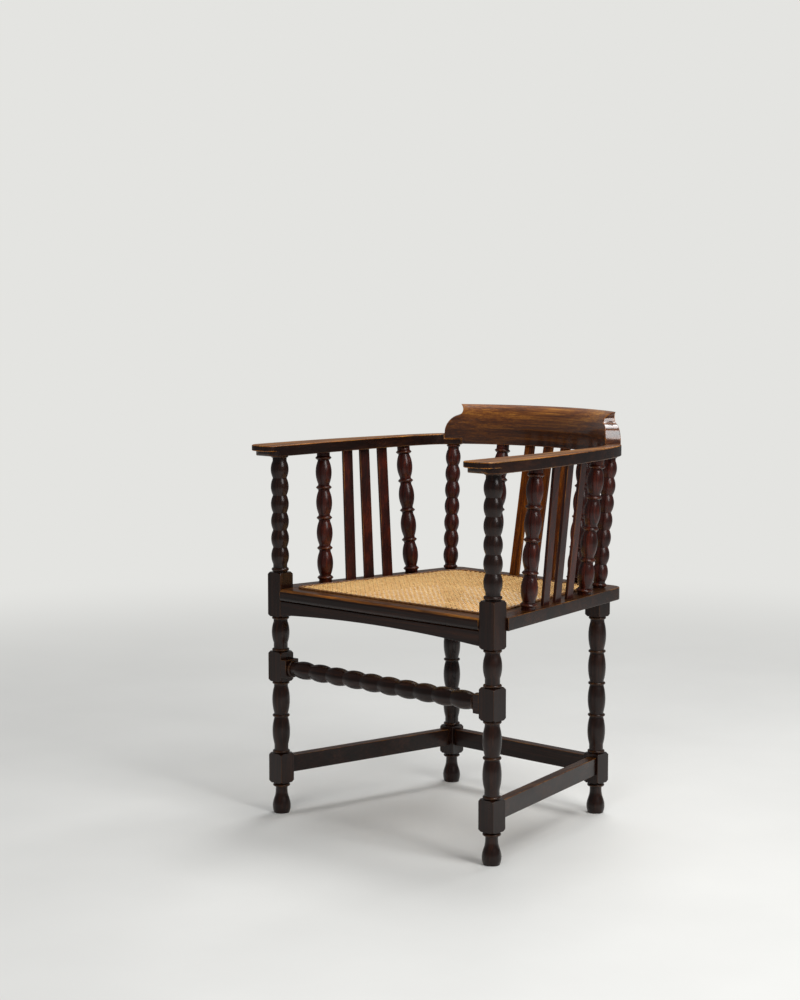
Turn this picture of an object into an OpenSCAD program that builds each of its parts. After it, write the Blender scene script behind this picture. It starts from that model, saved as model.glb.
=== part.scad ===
// Captain's chair in turned and sawn hardwood with a cane seat.
// Millimetres, +Z up, the sitter faces -Y. The origin is on the floor, midway between the
// two sides and midway between the noses of the arms and the back of the crest.
// Plans are drawn with y = 0 at the front leg axes and moved to the origin as a whole.

/* [Stance] */
// Half the distance between the front leg axes
front_half_span = 271; // [262:0.5:280]
// Half the distance between the rear leg axes
rear_half_span = 189; // [182:0.5:196]
// Distance from the front leg axes to the rear leg axes
leg_depth = 419.5; // [400:0.5:440]

/* [Heights] */
// Top of the seat frame above the floor
seat_top = 450; // [435:1:465]
// Underside of the arms above the floor
arm_under = 711; // [696:1:726]
// Thickness of the arms
arm_thick = 21.5; // [19:0.5:25]
// Height of the crest rail from the underside of the arms to its top
crest_rise = 83; // [78:1:90]

/* [Square blocks of the legs] */
// Side of the square blocks
block_side = 35.2; // [33:0.2:38]
// Height of the turned foot below the lower block
foot_height = 61.5; // [54:0.5:68]
// Length of the lower and the middle blocks
block_length = 59; // [50:1:66]
// Bottom of the middle block of a front leg
middle_block_z = 265; // [255:1:275]
// Length of the upper block below the seat frame
block_below_seat = 32; // [26:1:38]
// Length of the front upper block above the seat
block_above_seat = 31; // [24:1:38]
// Length of the sloped shoulder where a block runs into the turning
shoulder = 4; // [2:0.5:6]

/* [Turning of the legs] */
// Belly radius of a leg bobbin
leg_belly_r = 17.5; // [16:0.1:19]
// Neck radius between two leg bobbins
leg_neck_r = 13.8; // [12:0.1:15]
// Radius of the narrow rings
leg_ring_r = 17; // [15.5:0.1:18.5]
// Width of the narrow rings
leg_ring_w = 5; // [4:0.2:6]
// Length of the ring and hollow above a block, before the first bobbin
run_lead = 16; // [12:0.5:20]
// Length of the ring and hollow below a block, after the last bobbin
run_tail = 10; // [8:0.5:14]
// Plain neck beside a ring
ring_seat = 1; // [0.5:0.1:2]
// Width of the ring at the bottom of an arm post
post_ring_w = 7; // [5:0.5:8]
// Length of the ring and hollow at the bottom of an arm post
post_lead = 15; // [11:0.5:18]
// Length of the ring and hollow at the top of an arm post
post_tail = 11; // [8:0.5:14]
// Bobbins on an arm post
post_bobbins = 6; // [5:1:7]
// Bobbins on a rear leg
rear_leg_bobbins = 4; // [3:1:5]
// Bobbins on the front stretcher
stretcher_bobbins = 10; // [8:1:12]

/* [Turned foot] */
// Radius of the foot on the floor
foot_base_r = 15; // [13:0.5:17]
// Radius of the foot at its widest
foot_bulb_r = 18; // [17:0.25:19]
// Height of the widest part of the foot
foot_bulb_z = 14; // [11:0.5:17]
// Height of the lower bulb that stays round, above its widest part
foot_bulb_h = 8; // [6:0.5:10]
// Radius of the foot at its ankle
foot_ankle_r = 11.7; // [10.5:0.1:13]
// Height of the collar between the ankle and the lower block
foot_collar_h = 14; // [11:0.5:17]

/* [Rear posts] */
// Belly radius of a rear post bead
rear_post_belly_r = 15.5; // [14:0.1:17]
// Neck radius of a rear post
rear_post_neck_r = 11.5; // [10:0.1:13]
// Beads on a rear post
rear_post_beads = 7; // [6:1:8]
// Width of the ring at the bottom of a rear post
rear_post_ring_w = 7; // [5:0.5:8]
// Radius of the ring at the bottom of a rear post
rear_post_ring_r = 14.5; // [13.5:0.1:15.5]
// Length of the ring and hollow at the bottom of a rear post
rear_post_lead = 13; // [10:0.5:16]
// Length of the collar and hollow at the top of a rear post
rear_post_tail = 10.5; // [8:0.5:13]
// Width of the collar at the top of a rear post
rear_post_collar_w = 5.5; // [4:0.5:7]
// Radius of the collar at the top of a rear post
rear_post_collar_r = 14; // [13:0.1:15]
// Distance from the rear leg axis out to the axis of a rear post at the seat
rear_post_out = 3.5; // [0:0.5:6]
// Distance from the rear leg axis forward to the axis of a rear post at the seat
rear_post_forward = 1.5; // [0:0.5:4]

/* [Spindles and slats] */
// Belly radius of a spindle bobbin
spindle_belly_r = 16; // [14.5:0.1:17]
// Neck radius of a spindle
spindle_neck_r = 11.5; // [10:0.1:13]
// Radius of the plain ends of a spindle
spindle_end_r = 13; // [12:0.1:14]
// Radius of the rings between the spindle bobbins
spindle_ring_r = 15.5; // [14:0.1:16.5]
// Width of the rings between the spindle bobbins
spindle_ring_w = 8; // [6:0.5:10]
// Gap between two spindle bobbins, ring and hollows together
spindle_gap = 13; // [11:0.5:16]
// Length of the plain end at the bottom of a spindle
spindle_end_l = 5; // [3:0.5:8]
// Length of the plain end at the top of a spindle
spindle_top_l = 9; // [6:0.5:12]
// Width of the ring at the bottom of a spindle
spindle_base_w = 8; // [6:0.5:10]
// Width of the ring at the top of a spindle
spindle_cap_w = 8; // [6:0.5:10]
// Bobbins on a spindle
spindle_bobbins = 4; // [3:1:5]
// Width of a slat
slat_w = 23; // [18:0.5:28]
// Thickness of a slat
slat_t = 6; // [5:0.5:8]
// Distance of the side rows from the outer edge of the seat frame
side_row_inset = 17; // [15:0.5:19]
// Distance of the back row from the rear edge of the seat frame
back_row_inset = 16.5; // [15:0.5:19]
// Distance between the axes of the back slats
back_slat_pitch = 46; // [40:0.5:50]
// Distance of the back spindles from the middle of the back
back_spindle_x = 107; // [97:0.5:117]

/* [Seat frame] */
// Thickness of the seat frame
board_t = 24; // [20:0.5:28]
// Reach of the seat frame outside the front leg axes, at the back of the front blocks
side_reach_front = 22; // [19:0.5:26]
// Reach of the seat frame outside the rear leg axes
side_reach_rear = 36; // [32:0.5:40]
// Reach of the seat frame behind the rear leg axes
rear_reach = 46.5; // [40:0.5:52]
// Reach of the front edge in front of the front leg axes
nose_reach = 20; // [18.5:0.5:26]
// Radius of the rounded front edge
nose_r = 8; // [5:0.5:11]
// Radius of the rear outer corners of the frame
frame_corner_r = 28; // [15:1:40]
// Height of the front apron at its ends
apron_h = 27; // [24:0.5:30]
// Rise of the arch under the front apron
apron_arch = 9; // [4:0.5:14]
// Level part of the apron's lower edge beside each leg
apron_level = 4; // [2:0.5:10]
// Thickness of the front apron
apron_t = 20; // [16:0.5:24]

/* [Cane] */
// Distance of the cane's edge from the front edge of the frame
cane_inset_front = 31.5; // [28:0.5:36]
// Distance of the cane's edge from the outer side edges of the frame
cane_inset_side = 47; // [43:0.5:51]
// Distance of the cane's edge from the rear edge of the frame
cane_inset_rear = 45; // [41:0.5:50]
// Width of cane that lies on the frame
cane_lap = 13; // [9:0.5:16]
// Radius of the cane's front corners
cane_front_r = 20; // [14:1:30]
// Radius of the cane's rear corners
cane_corner_r = 50; // [38:1:60]
// Thickness of the woven cane
cane_t = 2.6; // [2:0.1:3.2]
// Openings across the cane at its front
cane_openings = 12; // [8:1:12]
// Width of the cane between two openings
cane_bar = 14; // [10:0.5:18]
// Width of the binder strip round the cane
binder_w = 6; // [5:0.5:8]
// Height of the binder strip above the frame
binder_h = 4; // [3.6:0.1:5]

/* [Arms] */
// Reach of an arm inside the front leg axis
arm_reach_in = 31; // [27:0.5:35]
// Reach of an arm outside the front leg axis
arm_reach_out = 35; // [32:0.5:39]
// Reach of the nose of an arm in front of the front leg axis
arm_nose_reach = 57; // [48:0.5:66]
// Reach of the lip at the nose of an arm beyond the lower half
arm_lip = 9; // [5:0.5:14]
// Radius of the inner corner of an arm's nose
arm_in_corner_r = 17; // [10:0.5:24]
// Radius of the outer corner of an arm's nose
arm_out_corner_r = 28; // [18:0.5:36]
// Distance from the rear leg axes forward to where the inner edge of an arm starts to bend
arm_in_bend = 190; // [170:1:210]
// Distance from the rear leg axes forward to where the outer edge of an arm starts to bend
arm_out_bend = 254; // [230:1:280]
// Distance from the front leg axes back to where the inner edge of an arm leaves its straight line
arm_in_start = 60; // [40:1:80]
// Length over which the inner edge of an arm turns into the line of the crest
arm_in_turn = 40; // [30:1:50]
// Straight part of the outer edge of an arm behind its front corner
arm_out_straight = 5; // [1:0.5:10]
// Swell of the outer edge of an arm behind the front leg
arm_out_swell = 1; // [0:0.5:3]
// Length over which the outer edge of an arm turns into the line of the crest
arm_out_turn = 45; // [35:1:55]
// Thickness of the lip of an arm
arm_lip_t = 11.3; // [9:0.1:13]
// Radius that rounds the lower half of an arm under its lip
arm_round_r = 9; // [5:0.5:9.5]
// Thickness of the tongue under the end of the crest
tongue_t = 12.5; // [10:0.5:15]

/* [Crest] */
// Radius of the hollow front face of the crest
crest_front_r = 339.3; // [330:0.1:350]
// Thickness of the crest
crest_t = 31.7; // [29:0.1:35]
// Height of the crest's bottom above the underside of the arms
crest_lift = 1.5; // [0.5:0.5:4]
// Distance from the rear leg axes forward to the centre of the crest's curve
crest_centre_forward = 273.5; // [266:0.5:280]
// Angle from the middle of the back to each end of the crest
crest_end_angle = 37.6; // [36.8:0.1:38.2]
// Angle over which the arm's tongue runs under the crest
tongue_angle = 6; // [5:0.1:6.8]
// Angle from the middle of the back to the top of a rear post
rear_post_angle = 34.7; // [34.2:0.1:35.2]
// Height of the crest's top above the start of its end curve
ogee_h = 58; // [50:1:62]
// Distance that the end curve draws in from the end of the crest
ogee_in = 38; // [30:0.5:44]
// Height of the flared ear above the narrowest place
ear_h = 10.5; // [8:0.5:14]
// Outward flare of the ear
ear_out = 6; // [3:0.5:8]
// Lean of the crest's front face before its top rolls back
crest_lean = 8.3; // [5:0.1:11]
// Height of the rolled top of the crest
crest_roll_h = 16; // [12:0.5:20]
// Height of the leaning part of the front face
crest_lean_h = 33; // [26:0.5:38]

/* [Stretchers] */
// Height of a lower stretcher
stretcher_h = 34; // [28:0.5:40]
// Thickness of a lower stretcher
stretcher_t = 20; // [16:0.5:24]
// Bottom of the lower stretchers above the floor
stretcher_z = 80; // [74:0.5:84]
// Height of the front stretcher's axis above the bottom of the middle blocks
stretcher_rise = 28; // [24:0.5:36]
// Length of a square end of the front stretcher
square_end = 14; // [10:0.5:18]
// Length of the ring and hollow at each end of the front stretcher
stretcher_lead = 13; // [10:0.5:16]

/* [Joints] */
// Clearance round each tenon in its mortise
fit = 0.15; // [0.1:0.05:0.3]
// Depth of the rectangular mortises
tenon_l = 11; // [8:0.5:12]
// Shoulder round a rectangular tenon
tenon_shoulder = 5; // [4:0.25:6]
// Radius of the round tenons of legs and posts
post_tenon_r = 9; // [7:0.25:10]
// Radius of the round tenons of spindles
spindle_tenon_r = 7; // [5:0.25:8]
// Depth of the sockets for spindles and slats
socket_depth = 12; // [8:0.5:14]
// Depth of the socket for an arm post
arm_socket_depth = 16; // [12:0.5:18]
// Reach of a rear post's tenon into the rear leg
leg_socket_depth = 20; // [14:1:26]
// Reach of a rear post's tenon into the crest
crest_socket_depth = 18; // [12:1:24]

/* [Hidden] */
$fn = 96;
large_fn = 256;

// Overlap of a core with the face that it passes, and reach of a small cut past a face
over = 1;
// Reach of a waste piece beyond what it is cut from
beyond = 10;
// Angle by which a curved piece or cut runs past its end
turn_over = 1;
// Depth to which the curve of a bobbin runs into the neck, which leaves a narrow flat between
// neighbours
neck_flat_sink = 0.4;

block_half = block_side / 2;
board_z = seat_top - board_t;
arm_top = arm_under + arm_thick;
crest_top = arm_under + crest_rise;
crest_back_r = crest_front_r + crest_t;
crest_centre_y = leg_depth - crest_centre_forward;
crest_mid_r = (crest_front_r + crest_back_r) / 2;
crest_bottom = arm_under + crest_lift;
lap_angle = crest_end_angle - tongue_angle;
mid_y = (crest_centre_y + crest_back_r - arm_nose_reach) / 2;
rear_edge_y = leg_depth + rear_reach;
left = -1;
right = 1;

// Places along the side rows, from front to back: share of the leg depth on the seat, and
// share of the arm's curve under the arm
side_spindle_front = [0.273, 0.189];
side_slat_front = [0.422, 0.309];
side_slat_middle = [0.529, 0.397];
side_slat_rear = [0.641, 0.494];
side_spindle_rear = [0.788, 0.626];

// Half width of the seat frame at depth y, less an inset
function edge_x(y, inset = 0) =
    front_half_span + side_reach_front - inset
    - (y - block_half) * (front_half_span + side_reach_front - rear_half_span - side_reach_rear)
      / (leg_depth - block_half);

// Point at an angle from the middle of the back, on a circle about the crest's centre
function on_crest(r, angle) = [r * sin(angle), crest_centre_y + r * cos(angle)];
function crest_tangent(angle) = [-cos(angle), sin(angle)];

function cubic(p, t) =
    pow(1 - t, 3) * p[0] + 3 * t * pow(1 - t, 2) * p[1]
    + 3 * t * t * (1 - t) * p[2] + pow(t, 3) * p[3];
function cubic_points(p, steps, from = 0) = [for (i = [from : steps]) cubic(p, i / steps)];

// Points of an arc from angle a0 to angle a1
function arc(centre, r, a0, a1, steps) =
    [for (i = [0 : steps]) centre + r * [cos(a0 + (a1 - a0) * i / steps), sin(a0 + (a1 - a0) * i / steps)]];

// Rounded corner at c between the neighbours a and b
function corner(a, c, b, r, steps = 8) =
    r <= 0 ? [c] :
    let (
        u = (a - c) / norm(a - c),
        v = (b - c) / norm(b - c),
        half = acos(u * v) / 2,
        o = c + (u + v) / norm(u + v) * r / sin(half),
        p = c + u * r / tan(half) - o,
        q = c + v * r / tan(half) - o,
        a0 = atan2(p.y, p.x),
        sweep = (atan2(q.y, q.x) - a0 + 540) % 360 - 180
    ) arc(o, r, a0, a0 + sweep, steps);

// Closed outline with a radius for each corner
function rounded(points, radii) =
    let (n = len(points))
    [for (i = [0 : n - 1])
        for (p = corner(points[(i + n - 1) % n], points[i], points[(i + 1) % n], radii[i])) p];

// Four corners of a region of the seat, set in from the edges of the frame
function seat_corners(front, side, rear) =
    let (y0 = front - nose_reach, y1 = rear_edge_y - rear, x0 = edge_x(y0, side), x1 = edge_x(y1, side))
    [[-x0, y0], [x0, y0], [x1, y1], [-x1, y1]];

function cane_outline(inset) =
    rounded(
        seat_corners(cane_inset_front + inset, cane_inset_side + inset, cane_inset_rear + inset),
        [cane_front_r - inset, cane_front_r - inset, cane_corner_r - inset, cane_corner_r - inset]
    );

module mirrored(side) {
    if (side == left) mirror([1, 0, 0]) children();
    else children();
}

module placed(side = right) {
    translate([0, -mid_y, 0]) mirrored(side) children();
}

// Places a piece that stands on +Z so that it runs from one point to another
module lean(from, to) {
    v = to - from;
    translate(from)
    rotate([0, acos(v.z / norm(v)), atan2(v.y, v.x)])
    rotate([0, 0, -atan2(v.y, v.x)])
    children();
}

// Layer between two heights
module layer(z0, z1) {
    size = 1200;
    translate([-size / 2, -size / 2, z0]) cube([size, size, z1 - z0]);
}

// Half profile of one bobbin
module bobbin(z0, z1, belly, neck) {
    h = (z1 - z0) / 2;
    bulge = belly - neck + neck_flat_sink;
    r = (h * h + bulge * bulge) / (2 * bulge);
    intersection() {
        translate([belly - r, (z0 + z1) / 2]) circle(r);
        translate([0, z0]) square([belly, z1 - z0]);
    }
}

// Half profile of a ring with a round edge, centred at height z
module ring(z, w, r) {
    translate([r - w / 2, z]) circle(w / 2);
    translate([0, z - w / 2]) square([r - w / 2, w]);
}

// Half profile of a ring whose two slopes meet at a narrow rim, centred at height z
module sharp_ring(z, w, r) {
    rim = w / 6;
    polygon([
        [0, z - w / 2], [r - (w - rim) / 2, z - w / 2], [r, z - rim / 2],
        [r, z + rim / 2], [r - (w - rim) / 2, z + w / 2], [0, z + w / 2]
    ]);
}

// Half profile of a row of bobbins, with round or sharp rings in the gaps when a gap is given
module bobbin_row(z0, z1, count, belly, neck, gap = 0, ring_w = 0, ring_r = 0, sharp = false) {
    pitch = (z1 - z0 + gap) / count;
    translate([0, z0]) square([neck, z1 - z0]);
    for (i = [0 : count - 1]) {
        bobbin(z0 + i * pitch, z0 + (i + 1) * pitch - gap, belly, neck);
        if (i > 0 && ring_w > 0) {
            if (sharp) sharp_ring(z0 + i * pitch - gap / 2, ring_w, ring_r);
            else ring(z0 + i * pitch - gap / 2, ring_w, ring_r);
        }
    }
}

// Square block whose corners slope into the turning at both ends
module block(z0, z1) {
    corner_r = block_half * sqrt(2);
    end_r = corner_r - shoulder;
    intersection() {
        translate([-block_half, -block_half, z0]) cube([block_side, block_side, z1 - z0]);
        rotate_extrude() polygon([
            [0, z0], [end_r, z0], [corner_r + over, z0 + shoulder + over],
            [corner_r + over, z1 - shoulder - over], [end_r, z1], [0, z1]
        ]);
    }
}

// Half profile of the turned foot
module foot_profile() {
    ankle_z = foot_height - foot_collar_h;
    top = foot_bulb_z + foot_bulb_h;
    draw_in = 2;
    bulb_r = (pow(foot_bulb_z, 2) + pow(foot_bulb_r - foot_base_r, 2)) / (2 * (foot_bulb_r - foot_base_r));
    intersection() {
        translate([foot_bulb_r - bulb_r, foot_bulb_z]) circle(bulb_r);
        square([foot_bulb_r, top]);
    }
    top_r = foot_bulb_r - bulb_r + sqrt(pow(bulb_r, 2) - pow(top - foot_bulb_z, 2));
    polygon(concat(
        [[0, top]],
        cubic_points([
            [top_r, top], [top_r - draw_in, (2 * top + ankle_z) / 3],
            [foot_ankle_r, (top + ankle_z) / 2], [foot_ankle_r, ankle_z]
        ], steps = 8),
        [[foot_ankle_r, foot_height], [0, foot_height]]
    ));
    ring(foot_height - leg_ring_w / 2 - 3 * ring_seat, leg_ring_w, leg_ring_r);
}

// Half profile of a leg between two blocks
module leg_run(z0, z1, count) {
    gap = leg_ring_w + 2 * ring_seat;
    translate([0, z0]) square([leg_neck_r, z1 - z0]);
    ring(z0 + gap / 2, leg_ring_w, leg_ring_r);
    bobbin_row(z0 + run_lead, z1 - run_tail, count, leg_belly_r, leg_neck_r, gap, leg_ring_w, leg_ring_r);
    ring(z1 - gap / 2, leg_ring_w, leg_ring_r);
}

// Half profile of the heart of a turning, which runs through all its parts
module heart(z0, z1) {
    heart_r = 0.8 * foot_ankle_r;
    translate([0, z0]) square([heart_r, z1 - z0]);
}

lower_block_top = foot_height + block_length;
middle_block_top = middle_block_z + block_length;
upper_block_z = board_z - block_below_seat;
post_block_top = seat_top + block_above_seat;

module front_leg(side) {
    color([0.24, 0.10, 0.06])
    placed(side) translate([front_half_span, 0, 0])
    difference() {
        union() {
            rotate_extrude() {
                foot_profile();
                heart(over, arm_under - over);
                leg_run(lower_block_top, middle_block_z, 2);
                leg_run(middle_block_top, upper_block_z, 1);
                translate([0, post_block_top]) square([leg_neck_r, arm_under - post_block_top]);
                ring(post_block_top + post_ring_w / 2 + 2 * ring_seat, post_ring_w, leg_ring_r);
                bobbin_row(post_block_top + post_lead, arm_under - post_tail, post_bobbins,
                    leg_belly_r, leg_neck_r);
                ring(arm_under - leg_ring_w / 2, leg_ring_w, leg_ring_r);
            }
            block(foot_height, lower_block_top);
            block(middle_block_z, middle_block_top);
            block(upper_block_z, post_block_top);
            arm_post_tenon(0);
        }
        translate([-front_half_span, 0, 0]) {
            side_stretcher_tenons(fit);
            front_stretcher_tenon(fit);
            apron_tenon(fit);
            front_board_tenon(fit);
            side_board_tenon(fit);
        }
    }
}

module arm_post_tenon(gap) {
    root = 5;
    translate([0, 0, arm_under - root])
    cylinder(r = post_tenon_r + gap, h = root + arm_socket_depth + gap - fit);
}

module rear_leg(side) {
    color([0.24, 0.10, 0.06])
    placed(side)
    difference() {
        translate([rear_half_span, leg_depth, 0]) {
            rotate_extrude() {
                foot_profile();
                heart(over, board_z - over);
                leg_run(lower_block_top, upper_block_z, rear_leg_bobbins);
            }
            block(foot_height, lower_block_top);
            block(upper_block_z, board_z);
        }
        side_stretcher_tenons(fit);
        rear_stretcher_tenon(fit);
        rear_post_tenon(fit);
    }
}

// Rear post: a separate leaning turning, tenoned through the frame into the leg below and
// through the arm's tongue into the crest above
rear_post_base = [rear_half_span + rear_post_out, leg_depth - rear_post_forward, seat_top];
rear_post_top = let (p = on_crest(crest_mid_r, rear_post_angle)) [p.x, p.y, arm_under];
rear_post_l = norm(rear_post_top - rear_post_base);
rear_post_down = board_t + leg_socket_depth;
rear_post_up = tongue_t + crest_socket_depth;

module rear_post_tenon(gap) {
    lean(rear_post_base, rear_post_top)
    translate([0, 0, -rear_post_down - gap])
    cylinder(r = post_tenon_r + gap, h = rear_post_l + rear_post_down + rear_post_up + 2 * gap);
}

module rear_post(side) {
    collar_z = rear_post_l - (ring_seat + rear_post_collar_w) / 2;
    color([0.26, 0.11, 0.06])
    placed(side) {
        intersection() {
            lean(rear_post_base, rear_post_top) rotate_extrude() {
                translate([0, -beyond]) square([rear_post_neck_r, rear_post_l + 2 * beyond]);
                ring(rear_post_lead / 2, rear_post_ring_w, rear_post_ring_r);
                bobbin_row(rear_post_lead, rear_post_l - rear_post_tail, rear_post_beads,
                    rear_post_belly_r, rear_post_neck_r);
                ring(collar_z, rear_post_collar_w, rear_post_collar_r);
            }
            layer(seat_top, arm_under);
        }
        rear_post_tenon(0);
    }
}

// Turned spindle between two points, cut flush with the seat and with what it carries
module spindle(base, top) {
    l = norm(top - base);
    base_top = spindle_end_l + spindle_base_w;
    cap_bottom = l - spindle_top_l - spindle_cap_w;
    intersection() {
        lean(base, top) rotate_extrude() {
            translate([0, -beyond]) square([spindle_end_r, beyond + spindle_end_l + over]);
            translate([0, l - spindle_top_l]) square([spindle_end_r, spindle_top_l + beyond]);
            sharp_ring(spindle_end_l + spindle_base_w / 2, spindle_base_w, spindle_belly_r);
            translate([0, spindle_end_l]) square([spindle_neck_r, l - spindle_end_l - spindle_top_l]);
            bobbin_row(base_top + ring_seat, cap_bottom - ring_seat, spindle_bobbins, spindle_belly_r,
                spindle_neck_r, spindle_gap, spindle_ring_w, spindle_ring_r, sharp = true);
            sharp_ring(cap_bottom + spindle_cap_w / 2, spindle_cap_w, spindle_belly_r);
        }
        layer(base.z, top.z);
    }
    spindle_tenons(base, top, 0);
}

module spindle_tenons(base, top, gap) {
    lean(base, top)
    translate([0, 0, -socket_depth - gap + fit])
    cylinder(r = spindle_tenon_r + gap, h = norm(top - base) + 2 * (socket_depth + gap - fit));
}

// Flat slat between two points, turned about its length by an angle, let into both ends
module slat(base, top, turn, gap = 0) {
    lean(base, top)
    rotate([0, 0, turn])
    translate([-slat_w / 2 - gap, -slat_t / 2 - gap, -socket_depth - gap + fit])
    cube([slat_w + 2 * gap, slat_t + 2 * gap, norm(top - base) + 2 * (socket_depth + gap - fit)]);
}

// Plan of the arm: a curve for each edge, from the front leg back to the crest
arm_in_x = front_half_span - arm_reach_in;
arm_out_x = front_half_span + arm_reach_out;
arm_in_end = on_crest(crest_front_r, crest_end_angle);
arm_out_end = on_crest(crest_back_r, crest_end_angle);
arm_in_curve = [
    [arm_in_x, arm_in_start],
    [arm_in_x, leg_depth - arm_in_bend],
    arm_in_end - arm_in_turn * crest_tangent(crest_end_angle),
    arm_in_end
];
arm_out_curve = [
    [arm_out_x, arm_out_corner_r - arm_nose_reach + arm_out_straight],
    [arm_out_x + arm_out_swell, leg_depth - arm_out_bend],
    arm_out_end - arm_out_turn * crest_tangent(crest_end_angle),
    arm_out_end
];

function side_base(share) =
    let (y = share[0] * leg_depth) [edge_x(y, side_row_inset), y, seat_top];
function side_top(share) =
    let (p = (cubic(arm_in_curve, share[1]) + cubic(arm_out_curve, share[1])) / 2) [p.x, p.y, arm_under];
side_turn = 90 + atan((edge_x(0) - edge_x(leg_depth)) / leg_depth);

function back_base(x) = [x, rear_edge_y - back_row_inset, seat_top];
function back_top(x) = [x, crest_centre_y + sqrt(pow(crest_mid_r, 2) - x * x), crest_bottom];

module side_spindle(side, share) {
    color([0.30, 0.13, 0.07]) placed(side) spindle(side_base(share), side_top(share));
}

module side_slat(side, share) {
    color([0.34, 0.15, 0.08]) placed(side) slat(side_base(share), side_top(share), side_turn);
}

module back_spindle(side) {
    color([0.32, 0.14, 0.07]) placed(side) spindle(back_base(back_spindle_x), back_top(back_spindle_x));
}

module back_slat(x) {
    color([0.42, 0.20, 0.10]) placed() slat(back_base(x), back_top(x), 0);
}

module side_row_sockets() {
    for (share = [side_spindle_front, side_spindle_rear])
        spindle_tenons(side_base(share), side_top(share), fit);
    for (share = [side_slat_front, side_slat_middle, side_slat_rear])
        slat(side_base(share), side_top(share), side_turn, fit);
}

module back_row_sockets() {
    for (x = [-back_spindle_x, back_spindle_x])
        spindle_tenons(back_base(x), back_top(x), fit);
    for (x = [-back_slat_pitch, 0, back_slat_pitch])
        slat(back_base(x), back_top(x), 0, fit);
}

// Lower stretchers
stretcher_slope = (front_half_span - rear_half_span) / leg_depth;
function stretcher_x(y) = front_half_span - y * stretcher_slope;

module side_stretcher_bar(y0, y1, half, z0, z1) {
    translate([0, 0, z0]) linear_extrude(z1 - z0) polygon([
        [stretcher_x(y0) - half, y0], [stretcher_x(y0) + half, y0],
        [stretcher_x(y1) + half, y1], [stretcher_x(y1) - half, y1]
    ]);
}

module side_stretcher_tenons(gap) {
    reach = tenon_l + gap - fit - block_half;
    side_stretcher_bar(
        -reach, leg_depth + reach, stretcher_t / 2 - tenon_shoulder + gap,
        stretcher_z + tenon_shoulder - gap, stretcher_z + stretcher_h - tenon_shoulder + gap
    );
}

module side_stretcher(side) {
    color([0.22, 0.09, 0.05])
    placed(side) {
        side_stretcher_bar(
            block_half, leg_depth - block_half, stretcher_t / 2, stretcher_z, stretcher_z + stretcher_h
        );
        side_stretcher_tenons(0);
    }
}

module centred_bar(x, y, z0, z1, t) {
    translate([-x, y - t / 2, z0]) cube([2 * x, t, z1 - z0]);
}

module rear_stretcher_tenon(gap) {
    centred_bar(
        rear_half_span - block_half + tenon_l + gap - fit, leg_depth,
        stretcher_z + tenon_shoulder - gap, stretcher_z + stretcher_h - tenon_shoulder + gap,
        stretcher_t - 2 * tenon_shoulder + 2 * gap
    );
}

module rear_stretcher() {
    color([0.22, 0.09, 0.05])
    placed() {
        centred_bar(
            rear_half_span - block_half, leg_depth, stretcher_z, stretcher_z + stretcher_h, stretcher_t
        );
        rear_stretcher_tenon(0);
    }
}

// Front stretcher: one long bobbin turning with square ends against the middle blocks
front_stretcher_z = middle_block_z + stretcher_rise;
between_posts = front_half_span - block_half;

module front_stretcher_tenon(gap) {
    l = 2 * (between_posts + tenon_l + gap - fit);
    translate([-l / 2, 0, front_stretcher_z]) rotate([0, 90, 0]) cylinder(r = post_tenon_r + gap, h = l);
}

module front_stretcher() {
    square_x = between_posts - square_end;
    row_x = square_x - stretcher_lead;
    color([0.25, 0.10, 0.06])
    placed() {
        translate([0, 0, front_stretcher_z]) rotate([0, 90, 0]) rotate_extrude() {
            translate([0, -between_posts]) square([leg_neck_r, 2 * between_posts]);
            bobbin_row(-row_x, row_x, stretcher_bobbins, leg_belly_r, leg_neck_r);
            for (end = [left, right]) ring(end * (square_x - leg_ring_w), leg_ring_w, leg_ring_r);
        }
        for (end = [left, right]) mirrored(end)
            translate([square_x, -block_half, front_stretcher_z - block_half])
            cube([square_end, block_side, block_side]);
        front_stretcher_tenon(0);
    }
}

// Seat frame and apron
module apron_tenon(gap) {
    inset = 4;
    centred_bar(
        between_posts + tenon_l + gap - fit, -block_half + apron_t / 2,
        board_z - apron_h + inset - gap, board_z - inset + gap, apron_t - 2 * inset + 2 * gap
    );
}

module front_apron() {
    arch_half = between_posts - apron_level;
    arch_r = (arch_half * arch_half + apron_arch * apron_arch) / (2 * apron_arch);
    color([0.20, 0.08, 0.05])
    placed() {
        difference() {
            union() {
                centred_bar(between_posts, -block_half + apron_t / 2, board_z - apron_h, board_z, apron_t);
                apron_tenon(0);
            }
            translate([0, 0, board_z - apron_h + apron_arch - arch_r])
            rotate([90, 0, 0]) translate([0, 0, -apron_t])
            cylinder(r = arch_r, h = 3 * apron_t, $fn = large_fn);
        }
    }
}

module side_board_plan() {
    polygon(rounded([
        [edge_x(block_half, cane_inset_side + cane_lap), block_half],
        [edge_x(block_half), block_half],
        [edge_x(rear_edge_y), rear_edge_y],
        [edge_x(rear_edge_y, cane_inset_side + cane_lap), rear_edge_y]
    ], [0, 0, frame_corner_r, 0]));
}

// Strip across the seat between two depths, its ends parallel to the sides of the frame
module seat_strip(y0, y1, inset) {
    x0 = edge_x(y0, inset);
    x1 = edge_x(y1, inset);
    polygon([[-x0, y0], [x0, y0], [x1, y1], [-x1, y1]]);
}

module opening_plan() {
    corner_r = cane_corner_r - cane_lap;
    polygon(rounded(
        seat_corners(cane_inset_front + cane_lap, cane_inset_side + cane_lap, cane_inset_rear + cane_lap),
        [0, 0, corner_r, corner_r]
    ));
}

// Tongues of the seat frame, in the middle third of its thickness
tenon_thick = board_t / 3;
tenon_z = seat_top - board_t / 2 - tenon_thick / 2;

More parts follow.
